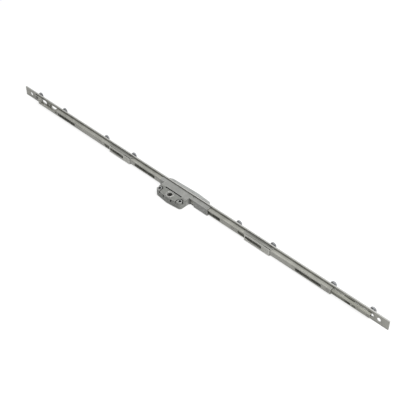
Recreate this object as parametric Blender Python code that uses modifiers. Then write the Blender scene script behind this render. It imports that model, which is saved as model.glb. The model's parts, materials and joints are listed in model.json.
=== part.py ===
# A window espagnolette gearbox: a slotted faceplate, two nested drive bars that slide in
# opposite directions, eight mushroom cams riveted to the bars, and a gear case whose square
# follower drives the bars through a toothed sector, a rack and a reversing pinion.
# Metres. X runs along the faceplate, +Y points to the cam side, Z is the spindle axis.
# Y is 0 in the middle of the faceplate's thickness, Z is 0 on its lower long edge.
import math

import bmesh
import bpy
from mathutils import Matrix

# Clearances
FIT = 0.0003                 # between pieces that lie on each other
SLIDE = 0.0004               # between a cam's neck and the slot it slides in
RUNNING = 0.0002             # between a shaft and its bore

# Faceplate
PLATE_LENGTH = 0.760
PLATE_WIDTH = 0.016
PLATE_THICKNESS = 0.002
FIXING_INSET = 0.0154        # from the plate's end to its end fixing hole
FIXING_RADIUS = 0.0028
FIXING_HEAD_RADIUS = 0.0045  # its countersink, 90 degrees
PAIR_HOLE_RADIUS = 0.0020    # the small hole in the middle of the left end pair
SLOT_NEAR_SPARE = 0.0035     # of slot beyond a cam, unlocked
SLOT_FAR_SPARE = 0.0055      # of slot beyond a cam, locked
SCREW_RADIUS = 0.0025        # fixing screw holes along the plate
HEAD_LEDGE = 0.0006          # of the outer bar's half width beyond their 90 degree countersinks

# Cams
END_PAIR_INSET = 0.063       # from the plate's end to the middle of its end pair
MIDDLE_PAIR_X = 0.145        # from the spindle to the middle of each middle pair
CAM_SPREAD = 0.065           # between the two cams of a pair, unlocked
CAM_HEAD_RADIUS = 0.0050
CAM_HEAD_THICKNESS = 0.0026
CAM_NECK_RADIUS = 0.0029
CAM_HEIGHT = 0.0080          # above the faceplate's front
CAM_RIVET_RADIUS = 0.0014
OUTER_CAM_SPREAD_END = 0.0024    # radius of the riveted end, flush with the outer bar's back
INNER_CAM_SPREAD_END = 0.0018    # the same on the inner bar
CAM_TAIL_RADIUS = 0.0026     # the first cam's domed end on the tongue
CAM_TAIL_THICKNESS = 0.0009

# Drive bars, both pressed channels open to the faceplate
OUTER_BAR_WIDTH = 0.0096
OUTER_BAR_DEPTH = 0.0060
OUTER_BAR_WALL = 0.0011
OUTER_BAR_OVERRUN = 0.0055   # past its last cam
BEND_RADIUS = 0.0012
TONGUE_OVERRUN = 0.0036      # past its first cam, which sits on a flat tongue
TONGUE_REACH = 0.0115        # from the first cam to where the channel starts
TONGUE_LAP = 0.0060          # of the tongue inside the channel
TONGUE_THICKNESS = 0.0012
WINDOW_MARGIN = 0.0040       # of closed channel between the tongue's end and the side window
WINDOW_TO_CAM = 0.0045       # from the side window to the inner bar's first cam
WINDOW_LEDGE = 0.0033        # of the channel left below the side window
INNER_BAR_WALL = 0.0012
INNER_BAR_UNDERRUN = 0.0105  # before its first cam
INNER_BAR_OVERRUN = 0.0035   # past its last cam
END_HOLE_TO_CAM = 0.0220     # from the oval end hole to the inner bar's last cam
END_HOLE_LENGTH = 0.0070
END_HOLE_WIDTH = 0.0030

# Screw slots in both bars, each over a screw hole of the faceplate
LEFT_SCREW_INSET = 0.053     # from the middle of the left end pair
NEAR_LEFT_SCREW = 0.073      # from the spindle
NEAR_RIGHT_SCREW = 0.0652
RIGHT_SCREW_INSET = 0.0655   # from the middle of the right end pair
SCREW_SLOT_SPARE = 0.0028    # left at each end of the travel
OUTER_SLOT_LEDGE = 0.0009    # of flat web beside a slot in the outer bar
INNER_SLOT_LEDGE = 0.0001    # the same in the inner bar

# Follower, drive rack and their teeth
SPINDLE_DEPTH = 0.022        # behind the faceplate's back
SPINDLE_SQUARE = 0.007
HANDLE_TURN = math.pi / 2
GEAR_MODULE = 0.0015
GEAR_TEETH = 15              # round the full circle
SECTOR_TEETH = 5
SECTOR_SHOULDER = 0.5        # of a tooth pitch of plain web beyond the last teeth
GEAR_WIDTH = 0.0056
HUB_RADIUS = 0.0056
HUB_SUNK = 0.0015            # below the case's top and bottom
HUB_WALL = 0.0011            # of case round the hub, which stands up as a ring
RACK_WIDTH = 0.0040
RACK_SPARE = 0.0054          # of rack beyond the spindle's line at each end of the travel
PEG_RADIUS = 0.0015
PEG_SPACING = 0.016
PRESSURE_ANGLE = math.radians(25)
ADDENDUM = 0.8               # modules
DEDENDUM = 1.1               # modules
GEAR_THINNING = 0.0003       # taken off each tooth of the follower and the drive rack
FLANK_STEPS = 4

# Reversing gear under the front guard
REVERSER_X = 0.018
PINION_MODULE = 0.0008
PINION_TEETH = 10
PINION_THINNING = 0.0002
PINION_PIN_RADIUS = 0.0015
PINION_PIN_HEAD = 0.0026
SMALL_RIVET_TAIL = 0.0019
RIVET_HEAD_THICKNESS = 0.0006
SMALL_RACK_THICKNESS = 0.0020
SMALL_RACK_BACK = 0.0016     # solid behind the teeth
SMALL_RACK_SPARE = 0.0035    # beyond the pinion's line
SMALL_RACK_GAP = 0.0006      # from the end block to the pinion's tips
BLOCK_LENGTH = 0.0080
BLOCK_EDGE = 0.0010          # of block beyond the tab that it holds
TAB_LENGTH = 0.0060
TAB_STEP = 0.00005           # a tab is this much thinner than its wall, on each face

# Front guard
GUARD_HEIGHT = 0.0051        # at its crown
GUARD_CROWN_X = 0.013        # from the pinion
GUARD_SHOULDER = 0.0031      # height where the left end's long slope stops
GUARD_SLOPE = 0.0060         # length of that slope
GUARD_RIGHT_HEIGHT = 0.0033  # at the steep right end
GUARD_RIGHT_SLOPE = 0.0004
GUARD_WALL = 0.0010
GUARD_LEFT_END = 0.0078      # beyond the left rivet boss
GUARD_RIGHT_END = 0.0028     # beyond the right one
BOSS_RADIUS = 0.0025
GUARD_RIVET_RADIUS = 0.0012
GUARD_RIVET_HEAD = 0.0022

# Gear case, two halves
CASE_WALL = 0.0011
NECK_WALL = 0.0012
NECK_LEFT = -0.036
NECK_RIGHT = 0.0635
LEFT_TAB_INSET = 0.005       # from the neck's left end to the middle of its tabs
RIGHT_TAB_INSET = 0.0135     # the same on the right
NECK_WINDOW_START = 0.0275   # the opening in the neck's back wall, right of the case
NECK_WINDOW_LENGTH = 0.008
NECK_WINDOW_BRIDGE = 0.0016  # of wall left above it
NECK_NOTCH_X = 0.0295        # the small opening in the neck's top
NECK_NOTCH_LENGTH = 0.003
NECK_NOTCH_WIDTH = 0.0012
NECK_NOTCH_DEPTH = 0.0018    # its middle, behind the faceplate's back
HANDLE_SCREW_SPACING = 0.043
BUSH_BORE = 0.0024           # radius of the handle screw's way through a tubular rivet
BUSH_RADIUS = 0.0028
BUSH_FLARE = 0.0031          # radius of its ends, spread flush with the case
POST_RADIUS = 0.0037
POST_GAP = 0.0018            # width of the U-shaped pocket round each post
PAD_RADIUS = 0.0047          # the case's corners: the pocket's outer leg opens their side
POST_POCKET_DEPTH = 0.0050
GEAR_ROOM = 0.0005           # round the sector's tips
GEAR_ROOM_ANGLE = math.radians(15)
GROOVE_HALF_LENGTH = 0.017
GROOVE_WIDTH = 0.0020
GROOVE_DEPTH = 0.0020
GROOVE_TO_SPINDLE = 0.0079
TOP_STEP = 0.0004            # the top behind the groove lies this much lower
BACK_POCKET_X = 0.008
BACK_POCKET_LENGTH = 0.0034
BACK_POCKET_HEIGHT = 0.0038
BACK_POCKET_DEPTH = 0.0020
BACK_POCKET_TOP = 0.0022     # below the case's top

# Guide saddles over the bars
SADDLE_WALL = 0.0008
SADDLE_REACH_LEFT = 0.013    # from the pair's centre
SADDLE_REACH_RIGHT = 0.042
SADDLE_SLANT = 0.0042
SADDLE_TAB_INSET = 0.0080
SADDLE_WINDOW_INSET = 0.0055 # from the strap's left foot to its window
SADDLE_WINDOW_LENGTH = 0.0315
SADDLE_WINDOW_WIDTH = 0.0064
SADDLE_RELIEF_LENGTH = 0.015 # of the cut beside the top bend, open at the right end
SADDLE_RELIEF_WIDTH = 0.0015
SADDLE_RELIEF_LAP = 0.0004   # of the relief cut in the back wall's thickness
SADDLE_CREASE_WIDTH = 0.0008
SADDLE_CREASE_DEPTH = 0.0004

# Worked out from the sizes above
MIDDLE = PLATE_WIDTH / 2
PITCH_RADIUS = GEAR_MODULE * GEAR_TEETH / 2
TRAVEL = HANDLE_TURN * PITCH_RADIUS
END_PAIR_X = PLATE_LENGTH / 2 - END_PAIR_INSET
PAIR_CENTRES = (-END_PAIR_X, -MIDDLE_PAIR_X, MIDDLE_PAIR_X, END_PAIR_X)
OUTER_CAMS = [centre - CAM_SPREAD / 2 for centre in PAIR_CENTRES]
INNER_CAMS = [centre + CAM_SPREAD / 2 for centre in PAIR_CENTRES]
SCREWS = (
    LEFT_SCREW_INSET - END_PAIR_X,
    -MIDDLE_PAIR_X,
    -NEAR_LEFT_SCREW,
    NEAR_RIGHT_SCREW,
    MIDDLE_PAIR_X,
    END_PAIR_X - RIGHT_SCREW_INSET,
)
HEAD_RADIUS = OUTER_BAR_WIDTH / 2 - HEAD_LEDGE
OUTER_SLOT_WIDTH = OUTER_BAR_WIDTH - 2 * (OUTER_BAR_WALL + OUTER_SLOT_LEDGE)
SCREW_SLOT_HALF = TRAVEL + SCREW_RADIUS + SCREW_SLOT_SPARE
OUTER_BACK = FIT + OUTER_BAR_DEPTH
OUTER_WEB_FRONT = OUTER_BACK - OUTER_BAR_WALL
INNER_BAR_WIDTH = OUTER_BAR_WIDTH - 2 * (OUTER_BAR_WALL + FIT)
INNER_SLOT_WIDTH = INNER_BAR_WIDTH - 2 * (INNER_BAR_WALL + INNER_SLOT_LEDGE)
CAM_SHANK_RADIUS = INNER_SLOT_WIDTH / 2 - FIT
INNER_BACK = OUTER_WEB_FRONT - FIT
INNER_WEB_FRONT = INNER_BACK - INNER_BAR_WALL
TONGUE_BACK = FIT + TONGUE_THICKNESS
OUTER_BAR_LEFT = OUTER_CAMS[0] + TONGUE_REACH
OUTER_BAR_RIGHT = OUTER_CAMS[-1] + OUTER_BAR_OVERRUN
INNER_BAR_LEFT = INNER_CAMS[0] - INNER_BAR_UNDERRUN
INNER_BAR_RIGHT = INNER_CAMS[-1] + INNER_BAR_OVERRUN
CHANNEL_BACK = OUTER_BACK + FIT
CHANNEL_HALF = OUTER_BAR_WIDTH / 2 + FIT
CASE_BOTTOM = MIDDLE - CHANNEL_HALF - CASE_WALL
CASE_TOP = MIDDLE + CHANNEL_HALF + CASE_WALL
CASE_TABS = (NECK_LEFT + LEFT_TAB_INSET, NECK_RIGHT - RIGHT_TAB_INSET)
NECK_DEPTH = CHANNEL_BACK + NECK_WALL
RACK_PITCH_DEPTH = SPINDLE_DEPTH - PITCH_RADIUS
RACK_HALF_LENGTH = TRAVEL / 2 + RACK_SPARE
RACK_CENTRE = -TRAVEL / 2
HANDLE_SCREW_X = HANDLE_SCREW_SPACING / 2
LOBE_RADIUS = HUB_RADIUS + FIT + HUB_WALL
PINION_RADIUS = PINION_MODULE * PINION_TEETH / 2
PINION_TIP = PINION_RADIUS + ADDENDUM * PINION_MODULE
BLOCK_NEAR = TRAVEL + PINION_TIP + SMALL_RACK_GAP
TAB_CENTRE = BLOCK_NEAR + BLOCK_LENGTH / 2
BOSS_CENTRE = BLOCK_NEAR + BLOCK_LENGTH + FIT + BOSS_RADIUS
GUARD_LEFT = REVERSER_X - BOSS_CENTRE - BOSS_RADIUS - GUARD_LEFT_END
GUARD_RIGHT = REVERSER_X + BOSS_CENTRE + BOSS_RADIUS + GUARD_RIGHT_END
SADDLE_HALF_WIDTH = CHANNEL_HALF + SADDLE_WALL
SADDLE_BACK = CHANNEL_BACK + SADDLE_WALL
PAST = 0.001                 # how far a cutter reaches past what it cuts
ARC_STEP = math.radians(15)
CAM_STEPS = 20
RIVET_STEPS = 14


def behind(depth):
    """Y of a place this far behind the faceplate's back."""
    return -PLATE_THICKNESS / 2 - depth


def before(height):
    """Y of a place this far before the faceplate's front."""
    return PLATE_THICKNESS / 2 + height


SPINDLE_Y = behind(SPINDLE_DEPTH)


# Outlines: lists of (first, second) points

def rectangle(low_a, low_b, high_a, high_b):
    return [(low_a, low_b), (high_a, low_b), (high_a, high_b), (low_a, high_b)]


def arc(centre, radius, start, end):
    steps = max(2, math.ceil(abs(end - start) / ARC_STEP))
    angles = [start + (end - start) * i / steps for i in range(steps + 1)]
    return [
        (centre[0] + radius * math.cos(angle), centre[1] + radius * math.sin(angle))
        for angle in angles
    ]


def circle(centre, radius):
    return arc(centre, radius, 0, 2 * math.pi)[:-1]


def slot(start, end, middle, width):
    """A slot with round ends, from start to end along its first direction."""
    half = width / 2
    left = arc((start + half, middle), half, math.pi / 2, 3 * math.pi / 2)
    right = arc((end - half, middle), half, -math.pi / 2, math.pi / 2)
    return left + right


def channel(width, depth, wall):
    """Section of a pressed channel in Y and Z, open to the faceplate, with rounded bends."""
    half = width / 2
    front = behind(FIT)
    back = behind(FIT + depth)
    inner = max(BEND_RADIUS - wall, wall / 4)
    outside = [(front, MIDDLE - half)]
    outside += arc(
        (back + BEND_RADIUS, MIDDLE - half + BEND_RADIUS), BEND_RADIUS, -math.pi / 2, -math.pi
    )
    outside += arc(
        (back + BEND_RADIUS, MIDDLE + half - BEND_RADIUS), BEND_RADIUS, math.pi, math.pi / 2
    )
    outside += [(front, MIDDLE + half)]
    inside = [(front, MIDDLE + half - wall)]
    corner = back + wall + inner
    inside += arc((corner, MIDDLE + half - wall - inner), inner, math.pi / 2, math.pi)
    inside += arc((corner, MIDDLE - half + wall + inner), inner, math.pi, 3 * math.pi / 2)
    inside += [(front, MIDDLE - half + wall)]
    return outside + inside


def rack_line(start, end, pitch_line, module, thinning, phase):
    """Rack teeth pointing up from the pitch line, between start and end, a gap at phase."""
    pitch = math.pi * module
    slope = math.tan(PRESSURE_ANGLE)
    half = pitch / 4 - thinning / 2
    tip_half = half - ADDENDUM * module * slope
    root_half = half + DEDENDUM * module * slope
    root = pitch_line - DEDENDUM * module
    tip = pitch_line + ADDENDUM * module
    first = math.ceil((start + root_half - phase) / pitch - 0.5)
    last = math.floor((end - root_half - phase) / pitch - 0.5)
    points = [(start, root)]
    for number in range(first, last + 1):
        centre = phase + (number + 0.5) * pitch
        points += [(centre - root_half, root), (centre - tip_half, tip)]
        points += [(centre + tip_half, tip), (centre + root_half, root)]
    return points + [(end, root)]


def gear_tooth(module, teeth, thinning, centre_angle):
    """One tooth's involute outline as (angle, radius) pairs, from its low angle to its high."""
    pitch_radius = module * teeth / 2
    base = pitch_radius * math.cos(PRESSURE_ANGLE)
    root = pitch_radius - DEDENDUM * module
    tip = pitch_radius + ADDENDUM * module
    half = (math.pi * module / 2 - thinning) / (2 * pitch_radius)
    involute = math.tan(PRESSURE_ANGLE) - PRESSURE_ANGLE
    start = max(base, root)
    flank = [(half + involute, root)] if root < base else []
    for step in range(FLANK_STEPS + 1):
        radius = start + (tip - start) * step / FLANK_STEPS
        pressure = math.acos(min(1, base / radius))
        flank.append((half + involute - math.tan(pressure) + pressure, radius))
    low = [(centre_angle - angle, radius) for angle, radius in flank]
    high = [(centre_angle + angle, radius) for angle, radius in reversed(flank)]
    return low + high


def from_polar(points, centre):
    return [
        (centre[0] + radius * math.cos(angle), centre[1] + radius * math.sin(angle))
        for angle, radius in points
    ]


# Solids

PLANES = {
    "XY": Matrix.Identity(4),
    "XZ": Matrix(((1, 0, 0, 0), (0, 0, 1, 0), (0, 1, 0, 0), (0, 0, 0, 1))),
    "YZ": Matrix(((0, 0, 1, 0), (1, 0, 0, 0), (0, 1, 0, 0), (0, 0, 0, 1))),
}


def new_collection(name):
    collection = bpy.data.collections.new(name)
    bpy.context.scene.collection.children.link(collection)
    return collection


def prism(name, outline, low, high, plane, collection):
    """An outline in the named plane, extruded from low to high along the third axis."""
    return prisms(name, [outline], low, high, plane, collection)


def prisms(name, outlines, low, high, plane, collection):
    """Several outlines that lie apart, extruded together as one object."""
    shape = bmesh.new()
    faces = []
    for outline in outlines:
        faces.append(shape.faces.new([shape.verts.new((*place, low)) for place in outline]))
    grown = bmesh.ops.extrude_face_region(shape, geom=faces)
    moved = [item for item in grown["geom"] if isinstance(item, bmesh.types.BMVert)]
    bmesh.ops.translate(shape, vec=(0, 0, high - low), verts=moved)
    bmesh.ops.transform(shape, matrix=PLANES[plane], verts=shape.verts)
    bmesh.ops.recalc_face_normals(shape, faces=shape.faces)
    mesh = bpy.data.meshes.new(name)
    shape.to_mesh(mesh)
    shape.free()
    mesh.shade_smooth()
    mesh.set_sharp_from_angle(angle=math.radians(30))
    solid = bpy.data.objects.new(name, mesh)
    collection.objects.link(solid)
    return solid


def turned(name, profile, place, axis, steps, collection):
    """A profile of (radius, height) pairs turned about Y or Z at place. It runs from its top
    down, or round to its first pair again for a tube."""
    mesh = bpy.data.meshes.new(name)
    is_tube = profile[0] == profile[-1]
    points = [(radius, 0, height) for radius, height in (profile[:-1] if is_tube else profile)]
    edges = [(i, i + 1) for i in range(len(points) - 1)]
    if is_tube:
        edges.append((len(points) - 1, 0))
    mesh.from_pydata(points, edges, [])
    solid = bpy.data.objects.new(name, mesh)
    collection.objects.link(solid)
    solid.location = place
    if axis == "Y":
        solid.rotation_euler = (-math.pi / 2, 0, 0)
    screw = solid.modifiers.new("turn", "SCREW")
    screw.axis = "Z"
    screw.steps = steps
    screw.render_steps = steps
    screw.use_merge_vertices = True
    screw.merge_threshold = 1e-6
    screw.use_smooth_shade = True
    return solid


def as_cutter(solid):
    solid.hide_render = True
    solid.display_type = "WIRE"
    return solid


def combine(solid, operation, others):
    for other in others:
        boolean = solid.modifiers.new(other.name, "BOOLEAN")
        boolean.operation = operation
        boolean.solver = "EXACT"
        boolean.object = as_cutter(other)


def cut(solid, *cutters):
    combine(solid, "DIFFERENCE", cutters)


def join(solid, *additions):
    combine(solid, "UNION", additions)


def cut_box(name, low, high, collection):
    return prism(name, rectangle(low[0], low[1], high[0], high[1]), low[2], high[2], "XY", collection)


def finish(solid, material):
    solid.data.materials.clear()
    solid.data.materials.append(material)


def metal(name, colour, roughness):
    material = bpy.data.materials.new(name)
    material.use_nodes = True
    shader = material.node_tree.nodes["Principled BSDF"]
    shader.inputs["Base Color"].default_value = (*colour, 1)
    shader.inputs["Metallic"].default_value = 1.0
    shader.inputs["Roughness"].default_value = roughness
    return material


# Faceplate

def countersunk_hole(name, x, radius, head_radius, tools):
    """A through hole with a 90 degree countersink in the faceplate's front."""
    profile = [
        (0, before(PAST)),
        (head_radius + PAST, before(PAST)),
        (radius, before(radius - head_radius)),
        (radius, behind(PAST)),
        (0, behind(PAST)),
    ]
    return turned(name, profile, (x, 0, MIDDLE), "Y", CAM_STEPS, tools)


def faceplate(parts, tools):
    half = PLATE_LENGTH / 2
    plate = prism(
        "faceplate", rectangle(-half, 0, half, PLATE_WIDTH), behind(0), before(0), "XZ", parts
    )
    reach = CAM_NECK_RADIUS + SLIDE
    near = reach + SLOT_NEAR_SPARE
    far = TRAVEL + reach + SLOT_FAR_SPARE
    spans = [(x - near, x + far) for x in OUTER_CAMS] + [(x - far, x + near) for x in INNER_CAMS]
    openings = [slot(start, end, MIDDLE, 2 * reach) for start, end in spans]
    openings.append(circle((-END_PAIR_X, MIDDLE), PAIR_HOLE_RADIUS))
    openings.append(circle((REVERSER_X, MIDDLE), PINION_PIN_RADIUS + FIT))
    for side in (-1, 1):
        rivet = (REVERSER_X + side * BOSS_CENTRE, MIDDLE)
        openings.append(circle(rivet, GUARD_RIVET_RADIUS + FIT))
        low, high = tab_heights(side)
        centre = REVERSER_X + side * TAB_CENTRE
        start = centre - TAB_LENGTH / 2 - (TRAVEL if side > 0 else 0) - FIT
        end = centre + TAB_LENGTH / 2 + (TRAVEL if side < 0 else 0) + FIT
        openings.append(rectangle(start, low - FIT, end, high + FIT))
        openings += [tab_hole(x, side, CHANNEL_HALF, CASE_WALL) for x in CASE_TABS]
        openings += [tab_hole(x, side, CHANNEL_HALF, SADDLE_WALL) for x in saddle_tabs()]
    cut(plate, prisms("plate_openings", openings, behind(PAST), before(PAST), "XZ", tools))
    for number, x in enumerate(SCREWS, 1):
        name = f"plate_screw_hole_{number}"
        cut(plate, countersunk_hole(name, x, SCREW_RADIUS, HEAD_RADIUS, tools))
    for side in (-1, 1):
        x = side * (half - FIXING_INSET)
        name = f"plate_fixing_hole_{side}"
        cut(plate, countersunk_hole(name, x, FIXING_RADIUS, FIXING_HEAD_RADIUS, tools))
    return plate


def tab_span(side, inner, wall):
    """Lowest and highest Z of a wall that stands this far from the middle line."""
    near = MIDDLE + side * inner
    far = MIDDLE + side * (inner + wall)
    return min(near, far), max(near, far)


def tab_hole(x, side, inner, wall):
    low, high = tab_span(side, inner, wall)
    half = TAB_LENGTH / 2 + FIT
    return rectangle(x - half, low - FIT, x + half, high + FIT)


def tab_heights(side):
    """Lowest and highest Z of the bar tab: the outer bar's above, the inner bar's below."""
    if side < 0:
        top = MIDDLE + OUTER_BAR_WIDTH / 2
        return top - OUTER_BAR_WALL + TAB_STEP, top - TAB_STEP
    bottom = MIDDLE - INNER_BAR_WIDTH / 2
    return bottom + TAB_STEP, bottom + INNER_BAR_WALL - TAB_STEP


def bar_tab(name, side, tools):
    """The tab that reaches from a bar through the faceplate into its reversing rack."""
    low, high = tab_heights(side)
    centre = REVERSER_X + side * TAB_CENTRE
    back = behind(FIT + INNER_BAR_WALL)
    front = before(FIT + SMALL_RACK_THICKNESS)
    half = TAB_LENGTH / 2
    return cut_box(name, (centre - half, back, low), (centre + half, front, high), tools)


# Drive bars

def web_cutter(name, outlines, tools):
    """A cutter through a bar's web from behind, short of the faceplate."""
    near = behind(TONGUE_BACK + FIT)
    return prisms(name, outlines, behind(CHANNEL_BACK + PAST), near, "XZ", tools)


def rivet_hole(name, x, web_front, web_back, spread_end, tools):
    """A round hole through a web that widens to the back, for a cam's riveted end."""
    straight = CAM_RIVET_RADIUS + FIT
    wide = spread_end + FIT
    profile = [
        (0, behind(web_front - FIT)),
        (straight, behind(web_front - FIT)),
        (straight, behind(web_front)),
        (wide, behind(web_back)),
        (wide, behind(web_back + FIT / 2)),
        (0, behind(web_back + FIT / 2)),
    ]
    return turned(name, profile, (x, 0, MIDDLE), "Y", CAM_STEPS, tools)


def outer_drive_bar(parts, tools):
    section = channel(OUTER_BAR_WIDTH, OUTER_BAR_DEPTH, OUTER_BAR_WALL)
    bar = prism("outer_drive_bar", section, OUTER_BAR_LEFT, OUTER_BAR_RIGHT, "YZ", parts)
    half = OUTER_BAR_WIDTH / 2
    tongue = cut_box(
        "outer_bar_tongue",
        (OUTER_CAMS[0] - TONGUE_OVERRUN, behind(TONGUE_BACK), MIDDLE - half + TAB_STEP),
        (OUTER_BAR_LEFT + TONGUE_LAP, behind(FIT), MIDDLE + half - TAB_STEP),
        tools,
    )
    join(bar, tongue, bar_tab("outer_bar_tab", -1, tools))
    window = cut_box(
        "outer_bar_window",
        (OUTER_BAR_LEFT + WINDOW_MARGIN, behind(OUTER_BACK + PAST), MIDDLE - half + WINDOW_LEDGE),
        (INNER_CAMS[0] - WINDOW_TO_CAM, behind(TONGUE_BACK + FIT), MIDDLE + half + PAST),
        tools,
    )
    top = cut_box(
        "outer_bar_open_side",
        (OUTER_BAR_LEFT + TONGUE_LAP + FIT, behind(OUTER_BACK - PAST), MIDDLE),
        (INNER_CAMS[0] - WINDOW_TO_CAM, behind(-PAST), MIDDLE + half + PAST),
        tools,
    )
    spans = [(x - SCREW_SLOT_HALF, x + SCREW_SLOT_HALF) for x in SCREWS]
    slots = [slot(start, end, MIDDLE, OUTER_SLOT_WIDTH) for start, end in merged(spans)]
    for side in (-1, 1):
        slots.append(circle((RACK_CENTRE + side * PEG_SPACING / 2, MIDDLE), PEG_RADIUS + FIT))
    first = circle((OUTER_CAMS[0], MIDDLE), CAM_RIVET_RADIUS + FIT)
    cut(
        bar,
        window,
        top,
        web_cutter("outer_bar_slots", slots, tools),
        prism("outer_bar_tongue_hole", first, behind(TONGUE_BACK + PAST), before(0), "XZ", tools),
    )
    for number, x in enumerate(OUTER_CAMS[1:], 2):
        name = f"outer_bar_rivet_hole_{number}"
        cut(bar, rivet_hole(name, x, OUTER_WEB_FRONT, OUTER_BACK, OUTER_CAM_SPREAD_END, tools))
    return bar


def inner_drive_bar(parts, tools):
    section = channel(INNER_BAR_WIDTH, INNER_BACK - FIT, INNER_BAR_WALL)
    bar = prism("inner_drive_bar", section, INNER_BAR_LEFT, INNER_BAR_RIGHT, "YZ", parts)
    join(bar, bar_tab("inner_bar_tab", 1, tools))
    reach = CAM_SHANK_RADIUS + FIT
    spans = [(x - SCREW_SLOT_HALF, x + SCREW_SLOT_HALF) for x in SCREWS]
    spans += [(x - reach, x + 2 * TRAVEL + reach) for x in OUTER_CAMS[1:]]
    openings = [slot(start, end, MIDDLE, INNER_SLOT_WIDTH) for start, end in merged(spans)]
    start = INNER_CAMS[-1] - END_HOLE_TO_CAM - END_HOLE_LENGTH / 2
    openings.append(slot(start, start + END_HOLE_LENGTH, MIDDLE, END_HOLE_WIDTH))
    cut(bar, web_cutter("inner_bar_openings", openings, tools))
    for number, x in enumerate(INNER_CAMS, 1):
        name = f"inner_bar_rivet_hole_{number}"
        cut(bar, rivet_hole(name, x, INNER_WEB_FRONT, INNER_BACK, INNER_CAM_SPREAD_END, tools))
    return bar


def merged(spans):
    """Spans that overlap made one."""
    joined = []
    for start, end in sorted(spans):
        if joined and start < joined[-1][1]:
            joined[-1] = (joined[-1][0], max(end, joined[-1][1]))
        else:
            joined.append((start, end))
    return joined


# Cams

def cam(name, x, web_front, web_back, spread_end, parts):
    """A turned mushroom cam, riveted into the web that lies between the two depths."""
    top = before(CAM_HEIGHT)
    under = before(CAM_HEIGHT - CAM_HEAD_THICKNESS)
    round_edge = CAM_HEAD_THICKNESS / 4
    profile = [
        (0, top),
        (CAM_HEAD_RADIUS - 2 * round_edge, top),
        (CAM_HEAD_RADIUS - round_edge / 2, top - round_edge / 2),
        (CAM_HEAD_RADIUS, top - 2 * round_edge),
        (CAM_HEAD_RADIUS, under + round_edge),
        (CAM_HEAD_RADIUS - round_edge, under),
        (CAM_NECK_RADIUS, under),
        (CAM_NECK_RADIUS, behind(0)),
    ]
    if web_front > 2 * FIT:
        profile += [(CAM_SHANK_RADIUS, behind(0)), (CAM_SHANK_RADIUS, behind(web_front - FIT))]
        profile += [(CAM_RIVET_RADIUS, behind(web_front - FIT))]
        profile += [(CAM_RIVET_RADIUS, behind(web_front))]
        profile += [(spread_end, behind(web_back)), (0, behind(web_back))]
    else:
        tail = web_back + FIT
        end = tail + CAM_TAIL_THICKNESS
        profile += [(CAM_RIVET_RADIUS, behind(0)), (CAM_RIVET_RADIUS, behind(tail))]
        profile += [(CAM_TAIL_RADIUS, behind(tail)), (CAM_TAIL_RADIUS * 0.7, behind(end))]
        profile += [(0, behind(end))]
    return turned(name, profile, (x, 0, MIDDLE), "Y", CAM_STEPS, parts)


def cams(parts):
    made = []
    for number, x in enumerate(OUTER_CAMS, 1):
        front, back = (OUTER_WEB_FRONT, OUTER_BACK) if number > 1 else (FIT, TONGUE_BACK)
        name = f"outer_bar_cam_{number}"
        made.append(cam(name, x, front, back, OUTER_CAM_SPREAD_END, parts))
    for number, x in enumerate(INNER_CAMS, 1):
        name = f"inner_bar_cam_{number}"
        made.append(cam(name, x, INNER_WEB_FRONT, INNER_BACK, INNER_CAM_SPREAD_END, parts))
    return made


# Follower and drive rack

def follower(parts, tools):
    """The square-holed hub with a toothed sector that turns the handle's turn into travel."""
    pitch = 2 * math.pi / GEAR_TEETH
    centre = (0, SPINDLE_Y)
    low = math.pi / 2 - SECTOR_SHOULDER * pitch
    high = math.pi / 2 + (SECTOR_TEETH - 1 + SECTOR_SHOULDER) * pitch
    root = PITCH_RADIUS - DEDENDUM * GEAR_MODULE
    web = HUB_RADIUS / 2
    polar = [(low, web), (low, root)]
    for number in range(SECTOR_TEETH):
        angle = math.pi / 2 + number * pitch
        polar += gear_tooth(GEAR_MODULE, GEAR_TEETH, GEAR_THINNING, angle)
    polar += [(high, root), (high, web)]
    sector = prism(
        "follower_sector",
        from_polar(polar, centre),
        MIDDLE - GEAR_WIDTH / 2,
        MIDDLE + GEAR_WIDTH / 2,
        "XY",
        tools,
    )
    bottom = CASE_BOTTOM + HUB_SUNK
    top = CASE_TOP - HUB_SUNK
    hub = prism("follower", circle(centre, HUB_RADIUS), bottom, top, "XY", parts)
    join(hub, sector)
    side = SPINDLE_SQUARE / 2
    square = rectangle(-side, SPINDLE_Y - side, side, SPINDLE_Y + side)
    cut(hub, prism("follower_square", square, bottom - PAST, top + PAST, "XY", tools))
    return hub


def drive_rack(parts, tools):
    """The toothed rack behind the outer bar's web, held by two pegs in the web."""
    base = behind(CHANNEL_BACK)
    start = RACK_CENTRE - RACK_HALF_LENGTH
    end = RACK_CENTRE + RACK_HALF_LENGTH
    teeth = rack_line(start, end, RACK_PITCH_DEPTH, GEAR_MODULE, GEAR_THINNING, 0)
    outline = [(x, behind(depth)) for x, depth in teeth] + [(end, base), (start, base)]
    half = RACK_WIDTH / 2
    rack = prism("drive_rack", outline, MIDDLE - half, MIDDLE + half, "XY", parts)
    pegs = [
        prism(
            f"drive_rack_peg_{side}",
            circle((RACK_CENTRE + side * PEG_SPACING / 2, MIDDLE), PEG_RADIUS),
            behind(CHANNEL_BACK + FIT),
            behind(OUTER_WEB_FRONT),
            "XZ",
            tools,
        )
        for side in (-1, 1)
    ]
    join(rack, *pegs)
    return rack


# Reversing gear

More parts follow.
